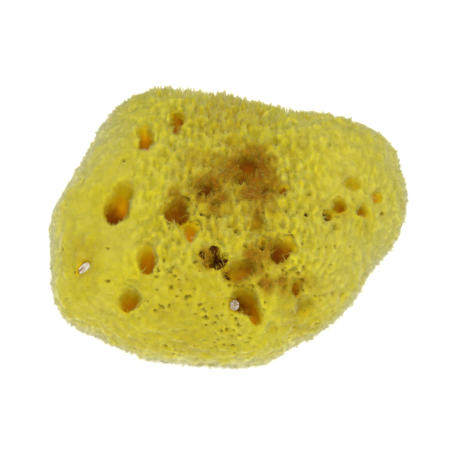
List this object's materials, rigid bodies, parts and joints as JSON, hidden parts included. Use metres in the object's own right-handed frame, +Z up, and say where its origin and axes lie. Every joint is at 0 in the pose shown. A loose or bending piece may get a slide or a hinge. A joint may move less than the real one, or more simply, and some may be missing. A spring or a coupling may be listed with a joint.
{
  "type": "sea sponge",
  "caption": "Natural bath sponge: a low, blunt-cornered lump covered in short tufts, riddled with deep round channels, with a flat cut underside that it rests on.",
  "frame": {"origin": "near the middle of the flat cut face that the sponge rests on", "axes": "+Z up from the cut face through the crown, +X along the sponge's length towards its blunt right corner, +Y away from the side it is seen from"},
  "size_m": [0.1279, 0.1073, 0.0557],
  "materials": {
    "spongin": "dry natural spongin fibre, lemon yellow tufts that turn amber and red-brown inside the channels, fully matt"
  },
  "bodies": {
    "root": {"sponge": "spongin"}
  },
  "joints": []
}
